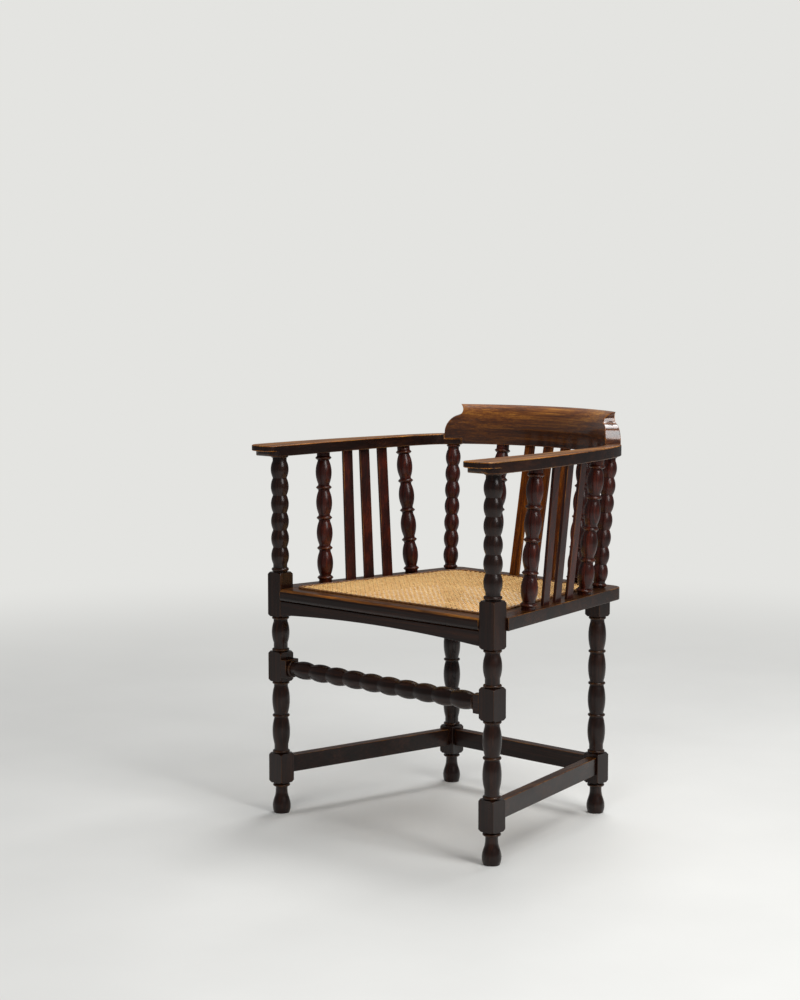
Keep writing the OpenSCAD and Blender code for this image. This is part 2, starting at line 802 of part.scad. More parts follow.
module side_board_tenon(gap) {
    half = block_half - tenon_shoulder;
    l = tenon_l + gap - fit;
    translate([front_half_span - half - gap, block_half - l, tenon_z - gap])
    cube([2 * (half + gap), l + over, tenon_thick + 2 * gap]);
}

module front_board_tenon(gap) {
    cheek = 2;
    t = block_half - tenon_l / 2;
    centred_bar(
        between_posts + tenon_l + gap - fit, -block_half + cheek + t / 2,
        tenon_z - gap, tenon_z + tenon_thick + gap, t + 2 * gap
    );
}

module rear_board_tenon(gap) {
    reach = cane_inset_side + cane_lap - tenon_l - gap + fit;
    tenon_y = rear_edge_y - (cane_inset_rear + cane_lap) / 2;
    half = block_half - tenon_shoulder + gap;
    translate([0, 0, tenon_z - gap])
    linear_extrude(tenon_thick + 2 * gap) seat_strip(tenon_y - half, tenon_y + half, reach);
}

// Edge section of the front board, seen from the side
module nose_profile(depth) {
    y = -nose_reach;
    for (z = [board_z + nose_r, seat_top - nose_r]) translate([y + nose_r, z]) circle(nose_r);
    translate([y, board_z + nose_r]) square([nose_r, board_t - 2 * nose_r]);
    translate([y + nose_r, board_z]) square([depth - nose_r, board_t]);
}

module seat_front_board() {
    depth = cane_inset_front + cane_lap;
    color([0.28, 0.12, 0.07])
    placed() {
        difference() {
            translate([between_posts, 0, 0]) rotate([90, 0, -90]) mirror([1, 0, 0])
                linear_extrude(2 * between_posts) nose_profile(depth);
            for (side = [left, right]) mirrored(side)
                translate([0, 0, board_z - over]) linear_extrude(board_t + 2 * over) side_board_plan();
        }
        front_board_tenon(0);
    }
}

module seat_side_board(side) {
    color([0.28, 0.12, 0.07])
    placed(side)
    difference() {
        union() {
            translate([0, 0, board_z]) linear_extrude(board_t) side_board_plan();
            side_board_tenon(0);
        }
        rear_board_tenon(fit);
        side_row_sockets();
        rear_post_tenon(fit);
    }
}

module seat_rear_board() {
    fillet_tip = 0.7 * (cane_corner_r - cane_lap);
    opening_rear_y = rear_edge_y - cane_inset_rear - cane_lap;
    color([0.28, 0.12, 0.07])
    placed() {
        difference() {
            union() {
                translate([0, 0, board_z]) linear_extrude(board_t) difference() {
                    seat_strip(opening_rear_y - fillet_tip, rear_edge_y, cane_inset_side + cane_lap);
                    opening_plan();
                }
                rear_board_tenon(0);
            }
            back_row_sockets();
        }
    }
}

// Cane
binder_lap = binder_w / 2;

// Plain grid of square openings that stands for the holes of the weave, kept off the frame
module cane_grid() {
    edge = cane_lap + cane_bar / 2;
    front = [edge_x(block_half, cane_inset_side + edge), -nose_reach + cane_inset_front + edge];
    rear_y = rear_edge_y - cane_inset_rear - edge;
    pitch = 2 * front.x / cane_openings;
    hole = pitch - cane_bar;
    rows = floor((rear_y - front.y) / pitch);
    start = (front.y + rear_y - rows * pitch) / 2;
    for (j = [0 : rows - 1], i = [0 : cane_openings - 1]) {
        x = (i + 0.5 - cane_openings / 2) * pitch;
        y = start + (j + 0.5) * pitch;
        if (abs(x) + hole / 2 < edge_x(y + hole / 2, cane_inset_side + edge))
            translate([x - hole / 2, y - hole / 2]) square(hole);
    }
}

module cane_panel() {
    color([0.85, 0.66, 0.36])
    placed() translate([0, 0, seat_top]) linear_extrude(cane_t) difference() {
        polygon(cane_outline(binder_lap + fit));
        cane_grid();
    }
}

module cane_binder() {
    color([0.43, 0.27, 0.13])
    placed() translate([0, 0, seat_top]) difference() {
        linear_extrude(binder_h) polygon(cane_outline(0));
        translate([0, 0, -over]) linear_extrude(binder_h + 2 * over) polygon(cane_outline(binder_w));
        translate([0, 0, -over]) linear_extrude(over + cane_t + fit) polygon(cane_outline(binder_lap));
    }
}

// Arms
module arm_plan() {
    nose_y = -arm_nose_reach;
    out_steps = 18;
    in_steps = 16;
    polygon(concat(
        corner([arm_in_x, 0], [arm_in_x, nose_y], [arm_out_x, nose_y], arm_in_corner_r),
        corner([arm_in_x, nose_y], [arm_out_x, nose_y], [arm_out_x, 0], arm_out_corner_r),
        [for (i = [0 : out_steps - 1]) cubic(arm_out_curve, i / out_steps)],
        arc([0, crest_centre_y], crest_back_r, 90 - crest_end_angle, 90 - lap_angle, steps = 4),
        arc([0, crest_centre_y], crest_front_r, 90 - lap_angle, 90 - crest_end_angle, steps = 4),
        [for (i = [in_steps - 1 : -1 : 0]) cubic(arm_in_curve, i / in_steps)]
    ));
}

// Sector of a ring about the crest's centre, between two angles from the middle of the back
module ring_sector(r0, r1, a0, a1, z0, z1) {
    translate([0, crest_centre_y, z0]) rotate([0, 0, 90 - a1])
    rotate_extrude(angle = a1 - a0, $fn = large_fn) translate([r0, 0]) square([r1 - r0, z1 - z0]);
}

module arm(side) {
    lip_z = arm_top - arm_lip_t;
    color([0.30, 0.13, 0.07])
    placed(side)
    difference() {
        translate([0, 0, arm_under]) linear_extrude(arm_thick) arm_plan();
        ring_sector(
            crest_front_r - beyond, crest_back_r + beyond, lap_angle - turn_over, crest_end_angle,
            arm_under + tongue_t, arm_top + over
        );
        translate([arm_in_x - over, -arm_nose_reach, lip_z])
            nose_waste(arm_reach_in + arm_reach_out + 2 * over);
        translate([0, 0, arm_under - over]) linear_extrude(lip_z - arm_under + over) {
            nose_corner_waste(arm_in_x, 1, arm_in_corner_r + arm_lip / 2);
            nose_corner_waste(arm_out_x, -1, arm_out_corner_r + arm_lip / 2);
        }
        translate([front_half_span, 0, 0]) arm_post_tenon(fit);
        side_row_sockets();
        rear_post_tenon(fit);
    }
}

// Plan of what is cut away below the lip at a corner of the nose, which leaves the lower half
// rounder than the lip
module nose_corner_waste(side_x, inward, r) {
    front_y = arm_lip - arm_nose_reach;
    difference() {
        translate([side_x + (inward > 0 ? -over : -r), front_y - over]) square(r + over);
        translate([side_x + inward * r, front_y + r]) circle(r);
    }
}

// What is cut away below the lip, across the nose of an arm
module nose_waste(w) {
    h = arm_thick - arm_lip_t;
    difference() {
        translate([0, -over, -h - over]) cube([w, over + arm_lip + arm_round_r, h + over]);
        translate([-over, arm_lip + arm_round_r, arm_round_r - h])
            rotate([0, 90, 0]) cylinder(r = arm_round_r, h = w + 2 * over);
        translate([-over, arm_lip, arm_round_r - h]) cube([w + 2 * over, arm_round_r + over, h]);
    }
}

// Crest rail: one board sawn to a curve, its front face leaning and rolling back at the top,
// and each end drawn in by an ogee that flares to an ear
module crest_section() {
    roll_z = crest_top - crest_roll_h;
    lean_z = roll_z - crest_lean_h;
    lean_r = (pow(crest_lean, 2) + pow(crest_lean_h, 2)) / (2 * crest_lean);
    lean_end = asin(crest_lean_h / lean_r);
    roll_in = crest_t - crest_lean;
    roll_chord = norm([roll_in, crest_roll_h]);
    roll_turn = 2 * (atan(roll_in / crest_roll_h) - lean_end);
    roll_r = roll_chord / (2 * sin(roll_turn / 2));
    roll_start = [crest_front_r + crest_lean, roll_z];
    roll_centre = roll_start + roll_r * [cos(lean_end), -sin(lean_end)];
    roll_steps = 8;
    polygon(concat(
        [[crest_back_r, crest_bottom], [crest_front_r, crest_bottom]],
        arc([crest_front_r + lean_r, lean_z], lean_r, 180, 180 - lean_end, steps = 5),
        [for (i = [1 : roll_steps])
            let (a = 180 - lean_end - roll_turn * i / roll_steps)
            roll_centre + roll_r * [cos(a), sin(a)]]
    ));
}

// What is cut from an end of the crest, seen square to the end
module ogee_waste() {
    ear_r = (ear_out * ear_out + ear_h * ear_h) / (2 * ear_out);
    ogee_z = crest_top - ogee_h;
    neck_z = crest_top - ear_h;
    radii = (ogee_in * ogee_in + pow(neck_z - ogee_z, 2)) / (2 * ogee_in);
    shoulder_r = radii - ear_r;
    shoulder_centre = [-shoulder_r, ogee_z];
    ear_centre = [-ogee_in + ear_r, neck_z];
    turn = atan2(neck_z - ogee_z, ear_centre.x - shoulder_centre.x);
    ear_end = 180 - asin(ear_h / ear_r);
    ear_top_x = ear_centre.x + ear_r * cos(ear_end);
    ear_steps = 12;
    polygon(concat(
        [[0, crest_bottom - beyond]],
        arc(shoulder_centre, shoulder_r, 0, turn, steps = 8),
        [for (i = [1 : ear_steps])
            let (a = 180 + turn + (ear_end - 180 - turn) * i / ear_steps)
            ear_centre + ear_r * [cos(a), sin(a)]],
        [[ear_top_x, crest_top + beyond], [beyond, crest_top + beyond], [beyond, crest_bottom - beyond]]
    ));
}

module crest() {
    end = crest_end_angle + turn_over;
    color([0.40, 0.19, 0.09])
    placed()
    difference() {
        translate([0, crest_centre_y, 0]) rotate([0, 0, 90 - end])
            rotate_extrude(angle = 2 * end, $fn = large_fn) crest_section();
        for (side = [left, right]) mirrored(side) {
            translate([0, crest_centre_y, 0]) rotate([0, 0, -crest_end_angle])
                translate([0, crest_back_r + beyond, 0])
                rotate([90, 0, 0])
                linear_extrude(crest_t + 2 * beyond) ogee_waste();
            ring_sector(
                crest_front_r - beyond, crest_back_r + beyond, lap_angle, end + turn_over,
                crest_bottom - over, arm_under + tongue_t
            );
            rear_post_tenon(fit);
        }
        back_row_sockets();
    }
}

front_leg(left);  // front_leg_left
front_leg(right);  // front_leg_right
rear_leg(left);  // rear_leg_left
rear_leg(right);  // rear_leg_right
rear_post(left);  // rear_post_left
rear_post(right);  // rear_post_right
front_stretcher();
side_stretcher(left);  // side_stretcher_left
side_stretcher(right);  // side_stretcher_right
rear_stretcher();
front_apron();
seat_front_board();
seat_side_board(left);  // seat_side_board_left
seat_side_board(right);  // seat_side_board_right
seat_rear_board();
cane_panel();
cane_binder();
side_spindle(left, side_spindle_front);  // side_spindle_front_left
side_spindle(right, side_spindle_front);  // side_spindle_front_right
side_spindle(left, side_spindle_rear);  // side_spindle_rear_left
side_spindle(right, side_spindle_rear);  // side_spindle_rear_right
side_slat(left, side_slat_front);  // side_slat_front_left
side_slat(right, side_slat_front);  // side_slat_front_right
side_slat(left, side_slat_middle);  // side_slat_middle_left
side_slat(right, side_slat_middle);  // side_slat_middle_right
side_slat(left, side_slat_rear);  // side_slat_rear_left
side_slat(right, side_slat_rear);  // side_slat_rear_right
back_spindle(left);  // back_spindle_left
back_spindle(right);  // back_spindle_right
back_slat(-back_slat_pitch);  // back_slat_left
back_slat(0);  // back_slat_middle
back_slat(back_slat_pitch);  // back_slat_right
arm(left);  // arm_left
arm(right);  // arm_right
crest();
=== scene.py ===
"""Captain's chair in dark polished hardwood with a hand-woven cane seat."""
import math

import bmesh
import bpy
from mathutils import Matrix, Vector
from mathutils.geometry import convex_hull_2d


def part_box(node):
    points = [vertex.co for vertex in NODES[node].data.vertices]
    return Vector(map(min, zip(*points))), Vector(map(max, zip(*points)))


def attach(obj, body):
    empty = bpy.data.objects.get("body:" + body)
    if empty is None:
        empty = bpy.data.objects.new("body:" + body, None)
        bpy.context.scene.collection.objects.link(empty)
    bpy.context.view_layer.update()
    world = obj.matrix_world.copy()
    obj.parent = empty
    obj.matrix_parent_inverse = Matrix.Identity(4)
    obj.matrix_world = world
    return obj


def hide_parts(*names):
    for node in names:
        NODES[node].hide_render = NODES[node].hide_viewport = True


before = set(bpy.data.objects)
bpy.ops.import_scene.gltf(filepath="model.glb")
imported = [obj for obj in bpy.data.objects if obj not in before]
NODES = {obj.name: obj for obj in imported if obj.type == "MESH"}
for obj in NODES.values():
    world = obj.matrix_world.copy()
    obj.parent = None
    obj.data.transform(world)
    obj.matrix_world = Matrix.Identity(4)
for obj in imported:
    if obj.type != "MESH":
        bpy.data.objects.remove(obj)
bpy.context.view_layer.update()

MM = 0.001
scene = bpy.context.scene
scene.view_settings.view_transform = "Standard"

# Camera at the photograph's viewing angle: place in metres, lens and sensor in millimetres
CAMERA_PLACE = (2.5456, -2.9625, 1.0371)
CAMERA_AZIMUTH = math.radians(42.44)
CAMERA_DOWN = math.radians(6.04)
CAMERA_LENS = 72.6
CAMERA_SENSOR = 36.0

# Studio, in metres: the floor's radius, the width of its faint mottle, and where it begins and
# ends to fade into the background
FLOOR_R = 14.0
MOTTLE_W = 0.4
FADE_FROM, FADE_TO = 0.9, 3.4
BACKGROUND = "#E4E4E1"
PAPER = ("#D9D9D6", "#DEDEDB")
AMBIENT_COLOUR = "#F4F5F7"
AMBIENT_STRENGTH = 0.22

# Lamps, aimed at the middle of the chair: place and size in metres, power in watts
LIT_POINT = (0, 0, 0.45)
KEY = dict(place=(-0.3, 1.3, 3.2), size=(1.6, 1.4), power=62)
PANEL = dict(place=(2.1, -0.2, 2.5), size=(1.0, 2.6), power=62)
FILL = dict(place=(1.6, -3.9, 2.6), size=(1.8, 1.4), power=60)

# Stained and French-polished hardwood. The stain is a deep red-brown, near black in the
# hollows and amber where it has thinned; the polish gives tight highlights, rubbed dull in
# places. Each stain has a deep, a middle and a pale tone. The three stains are one wood at
# three levels of light: the dark stain is painted shade, the amber stain is painted light, and
# the red lies between.
STAIN_TONES_LIT_AND_SHADED = {
    "dark": ("#0B0402", "#1C0B06", "#341A0D"),
    "red": ("#130604", "#32100A", "#571F0E"),
    "amber": ("#1F0C01", "#5A2803", "#A05A08"),
}
# The same wood where hands have rubbed the stain away, also used to paint light on tops and
# upper edges, and old polish that gathers in hollows, also used to paint shade at the crest's foot
RUBBED_AND_LIT = ("#5C2C08", "#A36117", "#DB9D40")
OLD_POLISH_AND_SHADE = "#0D0503"
# Places of the three tones on the range of the grain
TONES = (0.36, 0.5, 0.64)

# Patterns of the wood: width across the grain, and the stretch of the other two directions,
# where 0.03 draws the pattern 33 times as long as it is wide. First come the growth layers, and
# the fine streaks within them.
FIGURE = dict(width=7 * MM, stretch=(1, 0.15, 0.03), detail=5, distortion=0.3)
STREAKS = dict(width=1.5 * MM, stretch=(1, 0.3, 0.015))
# Open pores, drawn some four times as wide as real ones so that they show
PORES = dict(width=0.9 * MM, stretch=(1, 1, 0.06), detail=2, roughness=0.5)
# Cloudy patches of stain, and the streaks in which rubbing has broken through it
CLOUDS = dict(width=50 * MM, stretch=(1, 0.6, 0.16), roughness=0.55)
THINNING = dict(width=14 * MM, stretch=(1, 0.5, 0.1), detail=4, roughness=0.65)
# Turn that lays the long direction of the grain along a piece
ALONG = {"x": (0, math.radians(90), 0), "y": (math.radians(90), 0, 0), "z": (0, 0, 0)}
# Each piece has its own seed, times which the grain is shifted by these steps, in metres
GRAIN_STEP = (0.37, 0.61, 0.83)

# Rattan: the pale skin and its deeper fibres, for the weave and for the darker strip round it
CANE = ("#F7D28E", "#C58A40")
DARKER_CANE = ("#8A5A28", "#54300F")
# Fibres, drawn some three times as wide as real ones so that they show, and the widths over
# which the skin's tone and its age vary
FIBRE_W = 0.7 * MM
TONE_W = 5 * MM
AGE_W = 90 * MM
# Strands that turn in several directions have short fibres
FIBRE_STRETCH = {"x": (0.06, 1, 1), "y": (1, 0.06, 1), "any": (1, 1, 1)}

# Edges sharper than SHARP are arrises; chains of them shorter than SOCKET_MOUTH are the mouths
# of sockets. Facets within FLAT of each other are one face; edges below SMOOTH look round.
SHARP = math.radians(40)
SMOOTH = math.radians(38)
FLAT = math.radians(0.4)
SOCKET_MOUTH = 100 * MM

# Wear runs from 0, fully stained, to 1, rubbed pale. Arrises within UPPER_ARRIS of a piece's
# top are rubbed in full, and those below it by the share LOWER_WEAR. The full pale of the upper
# arrises is partly wear and partly a painted highlight.
UPPER_ARRIS = 14 * MM
LOWER_WEAR = 0.25
# The crest is paler near its top by the rubbing of hands and by painted light, fading over this
# height below the crest's top, down to a foot darkened as painted shade
UPPER_WEAR_AND_LIGHT_H = 60 * MM
FOOT_SHADE = 0.85
# The crest's end grain faces outwards and forwards by at least these shares, and takes more stain
END_OUTWARDS, END_FORWARDS = 0.3, 0.1
END_DARK = 0.5
# How far upwards a level top and the rounded edge beside it face, and that edge's height and wear.
# Level tops are painted paler by wear and by painted light, and the rounded edge by wear and a
# painted highlight.
LEVEL, ROUNDED = 0.97, 0.35
ROUNDED_EDGE = 4 * MM
ROUNDED_WEAR_AND_HIGHLIGHT = 0.8
# Faces of turned beads are smaller than this. Their bend, about half of one over the radius in
# metres, says where crowns are rubbed and hollows are dark, from not at all to in full.
BEAD_FACE = 30 * MM * MM
CROWN_BEND = (60, 260)
HOLLOW_BEND = (20, 140)
# Shorter edges count as this long when the bend is measured
SHORTEST_EDGE = 0.1 * MM

# Cane seat: a hole every 12.7 mm and strands in pairs, flat over STRAND_FLAT of their width
HOLE_PITCH = 12.7 * MM
STRAND_W = 2.3 * MM
STRAND_T = 0.75 * MM
STRAND_FLAT = 0.75
PAIR_HALF = 1.5 * MM
SHEET_T = 2.6 * MM
# Rise of a strand where it crosses another, in strand thicknesses, and how near to a crossing a
# straight strand has that rise, as a share of the pitch
STRAIGHT_LIFT = 0.56
DIAGONAL_LIFT = 1.1
NEAR_CROSSING = 0.2
# Half the length that strands are laid over before they are cut at the panel's edge, in metres
WEAVE_REACH = 0.5
# Halvings that find where a strand meets the edge, and the shortest end worth adding
END_STEPS = 8
SHORTEST_END = 0.3 * MM
BINDER_W = 6.0 * MM
BINDER_T = 3.4 * MM
# The strip is a little narrower than its place, and lies a little outwards and clear of the frame
BINDER_SHARE = 0.98
BINDER_OUT = 0.15 * MM
BINDER_UP = 0.05 * MM
# Path of a tie over the strip: shares of the strip's half width across and of its height up
TIE_PATH = ((-1.12, 0.1), (-1.02, 0.62), (-0.6, 1.08), (0, 1.12), (0.6, 1.08), (1.02, 0.62), (1.12, 0.1))


# Materials

def linear(hex_colour):
    """sRGB hex to the linear colour that a socket takes."""
    def channel(pair):
        c = int(pair, 16) / 255
        return c / 12.92 if c <= 0.04045 else ((c + 0.055) / 1.055) ** 2.4
    return (*(channel(hex_colour[i:i + 2]) for i in (1, 3, 5)), 1.0)


def give(tree, node, inputs):
    """Gives each named socket of a node its value, or a link from another node's output."""
    for socket, value in inputs.items():
        if isinstance(value, bpy.types.NodeSocket):
            tree.links.new(value, node.inputs[socket])
        else:
            node.inputs[socket].default_value = value


def add(tree, kind, inputs, out=0, stops=(), **settings):
    """Adds one node with its settings, inputs and hex colour stops, and returns one output."""
    node = tree.nodes.new(kind)
    for name, value in settings.items():
        setattr(node, name, value)
    give(tree, node, inputs)
    if stops:
        bands = node.color_ramp.elements
        for position, tone in stops:
            bands.new(position).color = linear(tone)
        bands.remove(bands[-1])
        bands.remove(bands[0])
    return node.outputs[out]


def new_material(name):
    material = bpy.data.materials.new(name)
    material.use_nodes = True
    tree = material.node_tree
    return material, tree, tree.nodes["Principled BSDF"]


def stretched_noise(tree, place, width, stretch, detail=3, roughness=0.6, distortion=0.0):
    """Noise whose spots are as wide as width, drawn out in each direction by the stretch."""
    space = add(tree, "ShaderNodeMapping", {"Vector": place, "Scale": stretch})
    return add(tree, "ShaderNodeTexNoise", {
        "Vector": space, "Scale": 1 / width, "Detail": detail, "Roughness": roughness,
        "Distortion": distortion,
    })


def layered(tree, colour, layers):
    """Lays colours over the first one, each as far as its mask times its strength says."""
    for mask, strength, over in layers:
        cover = add(tree, "ShaderNodeMath", {0: mask, 1: strength}, operation="MULTIPLY")
        # A colour mix has its factor in socket 0, its colours in 6 and 7 and its result in 2
        colour = add(tree, "ShaderNodeMix", {0: cover, 6: colour, 7: over}, out=2, data_type="RGBA")
    return colour


def polished_wood(stain, along, seed, polish=0.15):
    """Polished hardwood with its grain along an axis; polish is how much clear gloss is left."""
    material, tree, shader = new_material(f"polished_hardwood_{stain}_{along}_{seed}")
    deep, body = (linear(tone) for tone in STAIN_TONES_LIT_AND_SHADED[stain][:2])
    place = add(tree, "ShaderNodeTexCoord", {}, out="Object")
    turned = add(tree, "ShaderNodeMapping", {
        "Vector": place, "Rotation": ALONG[along], "Location": [seed * step for step in GRAIN_STEP],
    })
    # The grain is three parts growth layers to two parts streaks
    figure = stretched_noise(tree, turned, **FIGURE)
    streaks = stretched_noise(tree, turned, **STREAKS)
    grain = add(tree, "ShaderNodeMix", {"Factor": 0.4, "A": figure, "B": streaks})
    # Dark flecks of open pores, and cloudy patches of stain
    pores = add(tree, "ShaderNodeMapRange", {
        "Value": stretched_noise(tree, turned, **PORES), "From Min": 0.5, "From Max": 0.66,
    })
    clouds = stretched_noise(tree, turned, **CLOUDS)
    stained = add(tree, "ShaderNodeValToRGB", {"Fac": grain}, stops=zip(TONES, STAIN_TONES_LIT_AND_SHADED[stain]))
    stained = layered(tree, stained, [(pores, 0.55, deep), (clouds, 0.3, body)])
    # Rubbed places show the paler wood in broken streaks, which also paints light on level tops, upper
    # edges and the crest's top; hollows hold old polish, whose dark also paints shade at the crest's
    # foot
    worn_and_lit = add(tree, "ShaderNodeAttribute", {}, out="Fac", attribute_name="worn_and_lit")
    hollow = add(tree, "ShaderNodeAttribute", {}, out="Fac", attribute_name="hollow")
    broken = add(tree, "ShaderNodeMapRange", {
        "Value": stretched_noise(tree, turned, **THINNING), "From Min": 0.36, "From Max": 0.6,
        "To Min": 0.25,
    })
    rub_and_light = add(tree, "ShaderNodeMath", {0: worn_and_lit, 1: broken}, operation="MULTIPLY")
    pale = add(tree, "ShaderNodeValToRGB", {"Fac": grain}, stops=zip(TONES, RUBBED_AND_LIT))
    pale = layered(tree, pale, [(pores, 0.4, body)])
    colour = layered(tree, stained, [(rub_and_light, 1.0, pale), (hollow, 0.85, linear(OLD_POLISH_AND_SHADE))])
    # The polish is uneven in the clouds of the stain, and duller where it is rubbed and where light
    # is painted paler
    uneven = add(tree, "ShaderNodeMapRange", {
        "Value": clouds, "From Min": 0.3, "From Max": 0.7, "To Min": 0.24, "To Max": 0.42,
    })
    rough = add(tree, "ShaderNodeMath", {0: rub_and_light, 1: 0.18, 2: uneven}, operation="MULTIPLY_ADD")
    # Streaks stand a little proud and pores are sunk
    height = add(tree, "ShaderNodeMath", {0: streaks, 1: pores}, operation="SUBTRACT")
    relief = add(tree, "ShaderNodeMath", {0: height, 1: 0.12}, operation="MULTIPLY")
    bump = add(tree, "ShaderNodeBump", {"Height": relief, "Strength": 0.5, "Distance": 0.4 * MM})
    give(tree, shader, {
        "Base Color": colour, "Roughness": rough, "Normal": bump, "IOR": 1.5,
        "Specular IOR Level": 0.25, "Coat Weight": polish, "Coat Roughness": 0.1,
    })
    return material


def rattan_cane(name, tones, along):
    """Split rattan: the hard, half-glossy outside skin, honey coloured for the weave and darker for
    the strip, with faint fibres."""
    material, tree, shader = new_material(name)
    pale, deep = tones
    place = add(tree, "ShaderNodeTexCoord", {}, out="Object")
    stretch = FIBRE_STRETCH[along]
    fibres = stretched_noise(tree, place, FIBRE_W, stretch)
    tone = stretched_noise(tree, place, TONE_W, stretch, detail=2, roughness=0.5)
    age = stretched_noise(tree, place, AGE_W, (1, 1, 1), roughness=0.5)
    skin = add(tree, "ShaderNodeValToRGB", {"Fac": tone}, stops=[(0.3, deep), (0.62, pale)])
    colour = layered(tree, skin, [(fibres, 0.25, linear(deep)), (age, 0.3, linear(deep))])
    rough = add(tree, "ShaderNodeMapRange", {
        "Value": fibres, "From Min": 0.3, "From Max": 0.7, "To Min": 0.34, "To Max": 0.55,
    })
    bump = add(tree, "ShaderNodeBump", {"Height": fibres, "Strength": 0.35, "Distance": 0.12 * MM})
    give(tree, shader, {
        "Base Color": colour, "Roughness": rough, "Normal": bump,
        "Coat Weight": 0.15, "Coat Roughness": 0.3,
    })
    return material


# Wood pieces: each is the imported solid, merged, with its arrises eased and its wear marked

def finish_piece(mesh, name, replaced, material):
    piece = bpy.data.objects.new(name, mesh)
    scene.collection.objects.link(piece)
    mesh.materials.clear()
    mesh.materials.append(material)
    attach(piece, "root")
    if replaced:
        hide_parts(*replaced)
    return piece


def share(value, start, end):
    """How far a value has come from the start to the end, from 0 to 1."""
    return min(max((value - start) / (end - start), 0.0), 1.0)


def surface_bend(vert):
    """How strongly the surface bends at a vertex: above 0 on a crown, below 0 in a dip."""
    total = 0.0
    for edge in vert.link_edges:
        way = vert.co - edge.other_vert(vert).co
        total += way.dot(vert.normal) / max(way.length_squared, SHORTEST_EDGE ** 2)
    return total / max(len(vert.link_edges), 1)


def mark_wear(bm, eased, wear, rubbed_and_lit_top, upper_wear_and_light):
    """Wear on eased arrises, on the crowns of small beads and on tops that hands have rubbed, and
    darkness in the hollows. A piece of full wear is rubbed on its rounded front edge too. The
    pale of upper arrises, level tops, the rounded edge and the crest's top is also painted light,
    and the dark at the crest's foot is painted shade."""
    worn_and_lit = bm.loops.layers.float.new("worn_and_lit")
    hollow = bm.loops.layers.float.new("hollow")
    bend = {v: surface_bend(v) for v in bm.verts}
    top = max(v.co.z for v in bm.verts)
    for face in bm.faces:
        facing = face.normal
        bead = face.calc_area() < BEAD_FACE
        for loop in face.loops:
            x, z = loop.vert.co.x, loop.vert.co.z
            # Eased arrises: paler by wear, and near the top also as a painted highlight
            if face in eased:
                loop[worn_and_lit] = wear if z > top - UPPER_ARRIS else LOWER_WEAR * wear
            # The crest: paler towards its top by wear and painted light, darker towards its foot as
            # painted shade; its end grain is kept darker by stain
            elif upper_wear_and_light:
                end_grain = facing.y < -END_FORWARDS and facing.x * x > END_OUTWARDS * abs(x)
                height = 0.0 if end_grain else share(z, top - UPPER_WEAR_AND_LIGHT_H, top)
                loop[worn_and_lit] = upper_wear_and_light * height
                loop[hollow] = END_DARK if end_grain else FOOT_SHADE * (1 - height)
            # Level tops: paler by wear and by painted light
            elif facing.z > LEVEL and rubbed_and_lit_top:
                loop[worn_and_lit] = rubbed_and_lit_top
            # The rounded front edge of a full-wear piece: paler by wear and by a painted highlight
            elif facing.z > ROUNDED and abs(z - top) < ROUNDED_EDGE and wear == 1.0:
                loop[worn_and_lit] = ROUNDED_WEAR_AND_HIGHLIGHT
            elif bead:
                loop[worn_and_lit] = wear * share(bend[loop.vert], *CROWN_BEND)
                loop[hollow] = share(-bend[loop.vert], *HOLLOW_BEND)


def chains(edges):
    """Groups of edges that hang together."""
    left = set(edges)
    while left:
        chain, front = [], [left.pop()]
        while front:
            edge = front.pop()
            chain.append(edge)
            near = {e for v in edge.verts for e in v.link_edges if e in left}
            left -= near
            front.extend(near)
        yield chain


def ease(bm, width, least_length):
    """Rounds the sharp arrises and returns the new faces. Short chains of edges are the mouths
    of sockets, which the joined pieces cover, and stay sharp. So do edges without room."""
    sharp = [e for e in bm.edges
             if len(e.link_faces) == 2 and e.is_convex and e.calc_face_angle() > SHARP]
    arrises = {e for chain in chains(sharp) if sum(e.calc_length() for e in chain) > SOCKET_MOUTH
               for e in chain if e.calc_length() > least_length}
    cramped = {v for e in arrises for v in e.verts
               if any(near not in arrises and near.calc_length() < 2 * width for near in v.link_edges)}
    roomy = [e for e in sharp if e in arrises and not cramped.intersection(e.verts)]
    made = bmesh.ops.bevel(bm, geom=roomy, offset=width, offset_type="OFFSET", segments=2, profile=0.5,
                           affect="EDGES", material=-1, clamp_overlap=False)
    return set(made["faces"])


def dressed(node, material, width, wear, least_length=0.0, merge=0.002 * MM,
            rubbed_and_lit_top=0.0, upper_wear_and_light=0.0):
    """A wood piece over its node. Its arrises are eased over the width, save those shorter than
    least_length, and points nearer than merge are one."""
    bm = bmesh.new()
    bm.from_mesh(NODES[node].data)
    bmesh.ops.remove_doubles(bm, verts=bm.verts, dist=merge)
    bmesh.ops.dissolve_limit(bm, angle_limit=FLAT, verts=bm.verts, edges=bm.edges)
    eased = ease(bm, width, least_length)
    bm.normal_update()
    mark_wear(bm, eased, wear, rubbed_and_lit_top, upper_wear_and_light)
    for face in bm.faces:
        face.smooth = True
    mesh = bpy.data.meshes.new(node + "_finished")
    bm.to_mesh(mesh)
    bm.free()
    mesh.set_sharp_from_angle(angle=SMOOTH)
    piece = finish_piece(mesh, node + "_finished", [node], material)
    shading = piece.modifiers.new("flat_faces_stay_flat", "WEIGHTED_NORMAL")
    shading.keep_sharp = True


def turned_pieces():
    """Upright legs, posts and spindles, of which the legs are the darkest, by painted shade, and the
    front stretcher that lies across, also dark by painted shade."""
    starts = ("front_leg", "rear_leg", "rear_post", "side_spindle", "back_spindle")
    for seed, node in enumerate(sorted(n for n in NODES if n.startswith(starts))):
        stain = "red" if "spindle" in node or "post" in node else "dark"
        dressed(node, polished_wood(stain, "z", seed), width=0.9 * MM, wear=0.25,
                least_length=20 * MM)
    dressed("front_stretcher", polished_wood("dark", "x", 21), width=0.8 * MM,
            wear=0.25, least_length=10 * MM)


